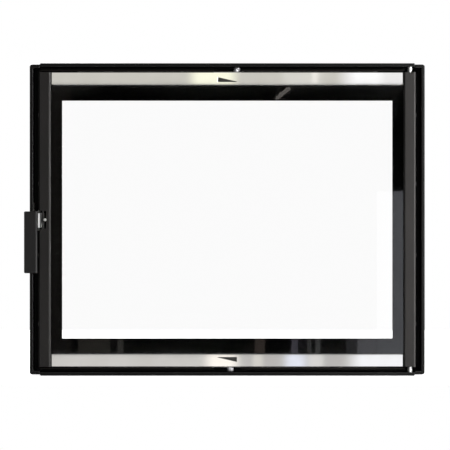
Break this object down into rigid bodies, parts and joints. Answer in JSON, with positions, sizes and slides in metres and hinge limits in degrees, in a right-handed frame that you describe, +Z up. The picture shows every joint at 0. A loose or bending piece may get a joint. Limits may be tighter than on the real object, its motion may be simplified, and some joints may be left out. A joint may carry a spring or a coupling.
{
  "type": "fireplace glass door",
  "caption": "Framed glass fire door: a leaf on pin hinges with a printed-border pane, polished trims, air slides and a sprung roller catch pulled by a flat side handle.",
  "frame": {"origin": "centre of the four firebox bolts, on the frame's rear face", "axes": "+X right as seen from the room, +Y into the fireplace, +Z up"},
  "size_m": [0.6404, 0.046, 0.5],
  "materials": {
    "frame_paint": "matt black stove paint",
    "leaf_paint": "matt black stove paint",
    "profile_paint": "matt dark grey stove paint",
    "polished_steel": "polished",
    "bright_steel": "turned, bright",
    "chrome": "polished",
    "plain_steel": "satin",
    "grey_steel": "dark satin",
    "black_screw": "blackened",
    "handle_paint": "satin dark grey",
    "bronze": "sintered",
    "clear_glass": "clear, glossy",
    "printed_enamel": "opaque black enamel",
    "rope": "braided glass fibre",
    "tape": "woven glass fibre",
    "mark_enamel": "matt filled mark",
    "spring_steel": "spring wire"
  },
  "bodies": {
    "frame": {"frame_left_stile": "frame_paint", "frame_right_stile": "frame_paint", "frame_top_rail": "frame_paint", "frame_bottom_rail": "frame_paint", "strike_plate": "plain_steel", "strike_nose": "plain_steel", "strike_screws": "plain_steel", "door_rope_seal": "rope", "hinge_pin_top": "bright_steel", "hinge_pin_bottom": "bright_steel"},
    "leaf": {"leaf_left_stile": "leaf_paint", "leaf_right_stile": "leaf_paint", "leaf_top_rail": "leaf_paint", "leaf_bottom_rail": "leaf_paint", "hinge_blocks": "leaf_paint", "hinge_bush_top": "bronze", "hinge_bush_bottom": "bronze", "hinge_thrust_disc": "plain_steel", "glass_pane": "clear_glass", "glass_printed_border": "printed_enamel", "glass_seal_tape": "tape", "left_glass_profile": "profile_paint", "right_glass_profile": "profile_paint", "profile_screws": "black_screw", "top_trim": "polished_steel", "bottom_trim": "polished_steel", "air_wedge_marks": "mark_enamel", "trim_studs": "plain_steel", "trim_nuts": "plain_steel", "latch_bracket": "grey_steel", "latch_screw": "bright_steel", "latch_pivot_pin": "grey_steel", "top_slide_studs": "leaf_paint", "bottom_slide_studs": "leaf_paint"},
    "handle": {"handle_plate": "handle_paint", "roller_pin": "bright_steel", "latch_spring": "spring_steel"},
    "roller": {"latch_roller": "chrome"},
    "top_slide": {"top_air_slide": "grey_steel", "top_slide_knob": "chrome", "top_knob_screw": "plain_steel"},
    "bottom_slide": {"bottom_air_slide": "grey_steel", "bottom_slide_knob": "chrome", "bottom_knob_screw": "plain_steel"}
  },
  "joints": [
    {"name": "leaf_swing", "type": "hinge", "parent": "frame", "child": "leaf", "pos_m": [0.293, -0.02725, 0], "axis": [0, 0, 1], "range_deg": [0, 100]},
    {"name": "handle_pull", "type": "hinge", "parent": "leaf", "child": "handle", "pos_m": [-0.2948, -0.0205, -0.0016], "axis": [0, 0, 1], "range_deg": [0, 8], "stiffness_Nm_per_rad": 0.6, "springref_deg": -20.05, "deforming": ["latch_spring"]},
    {"name": "roller_spin", "type": "hinge", "parent": "handle", "child": "roller", "pos_m": [-0.302, -0.031, -0.0016], "axis": [0, 0, 1], "continuous": true},
    {"name": "top_air_slide_move", "type": "slide", "parent": "leaf", "child": "top_slide", "axis": [1, 0, 0], "range_m": [-0.03, 0]},
    {"name": "bottom_air_slide_move", "type": "slide", "parent": "leaf", "child": "bottom_slide", "axis": [1, 0, 0], "range_m": [-0.02, 0.01]}
  ]
}
